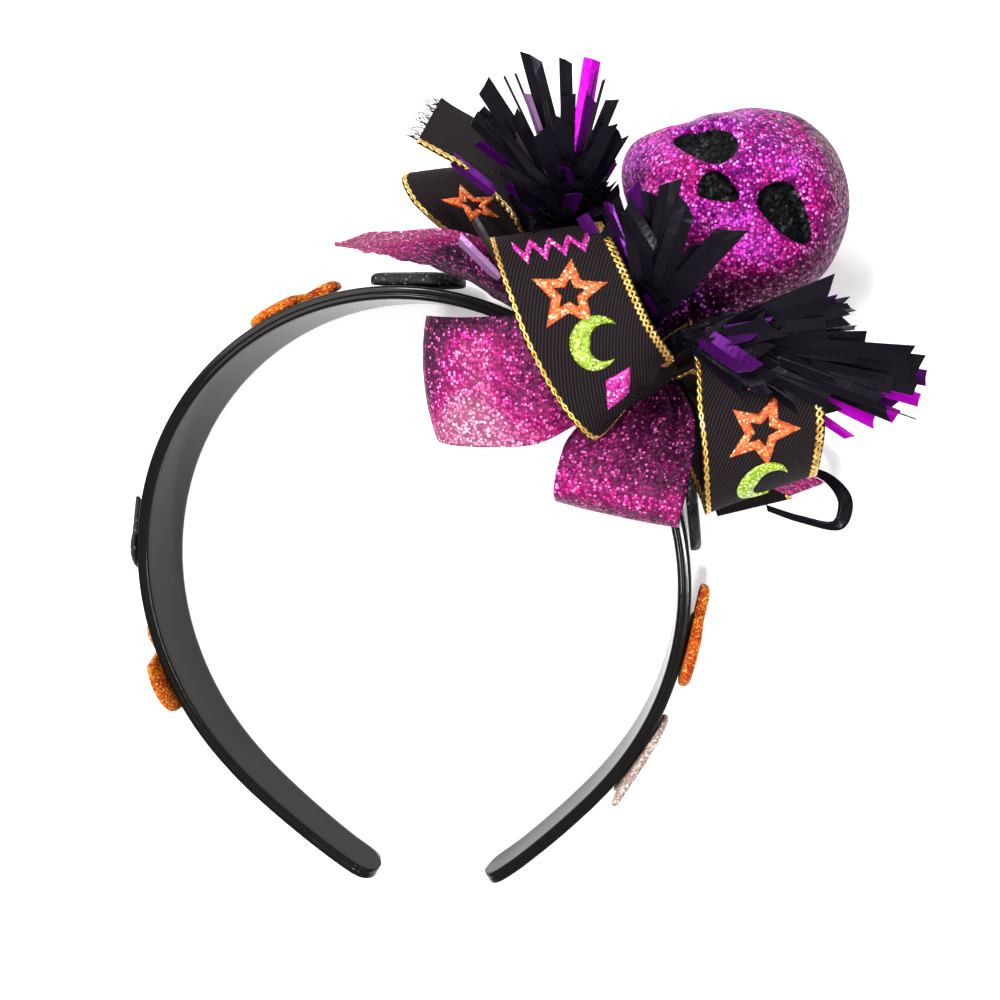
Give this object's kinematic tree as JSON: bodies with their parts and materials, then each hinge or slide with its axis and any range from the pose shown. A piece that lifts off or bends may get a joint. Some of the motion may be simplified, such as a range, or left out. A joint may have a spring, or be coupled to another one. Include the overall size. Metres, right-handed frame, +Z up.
{
  "type": "halloween headband",
  "caption": "Costume headband: tapered plastic arch with puffy stickers, and a side bow of glitter and printed ribbon loops, foil tinsel and a small glitter skull.",
  "frame": {"origin": "middle of the head opening, at the arch's widest line, on the surface that the headband lies on", "axes": "+Y to the apex of the arch, +X to the side that carries the bow, +Z up out of the arch's plane"},
  "size_m": [0.1778, 0.1853, 0.0582],
  "materials": {
    "band": "glossy moulded",
    "sticker_orange": "puffy foam with fine glitter",
    "sticker_black": "puffy foam with fine glitter",
    "sticker_white": "puffy foam with fine glitter",
    "knot": "tied ribbon, hidden",
    "glitter_ribbon": "pink and purple glitter",
    "print_ribbon": "twill with gold edges and glitter motifs",
    "foil": "metallic foil",
    "skull": "glitter coated"
  },
  "bodies": {
    "root": {"band": "band", "sticker_pumpkin_upper": "sticker_orange", "sticker_black_top": "sticker_black", "sticker_black_left": "sticker_black", "sticker_pumpkin_lower": "sticker_orange", "sticker_black_right": "sticker_black", "sticker_pumpkin_right": "sticker_orange", "sticker_ghost": "sticker_white", "bow_knot": "knot", "glitter_loop_left": "glitter_ribbon", "glitter_loop_low": "glitter_ribbon", "print_loop_front": "print_ribbon", "print_loop_right": "print_ribbon", "print_loop_upper": "print_ribbon", "glitter_tail_left": "glitter_ribbon", "glitter_tail_right": "glitter_ribbon", "print_tail_upper": "print_ribbon", "print_tail_low": "print_ribbon", "curl_strip": "foil", "tinsel_upper": "foil", "tinsel_right": "foil", "tinsel_front": "foil", "skull": "skull"}
  },
  "joints": []
}
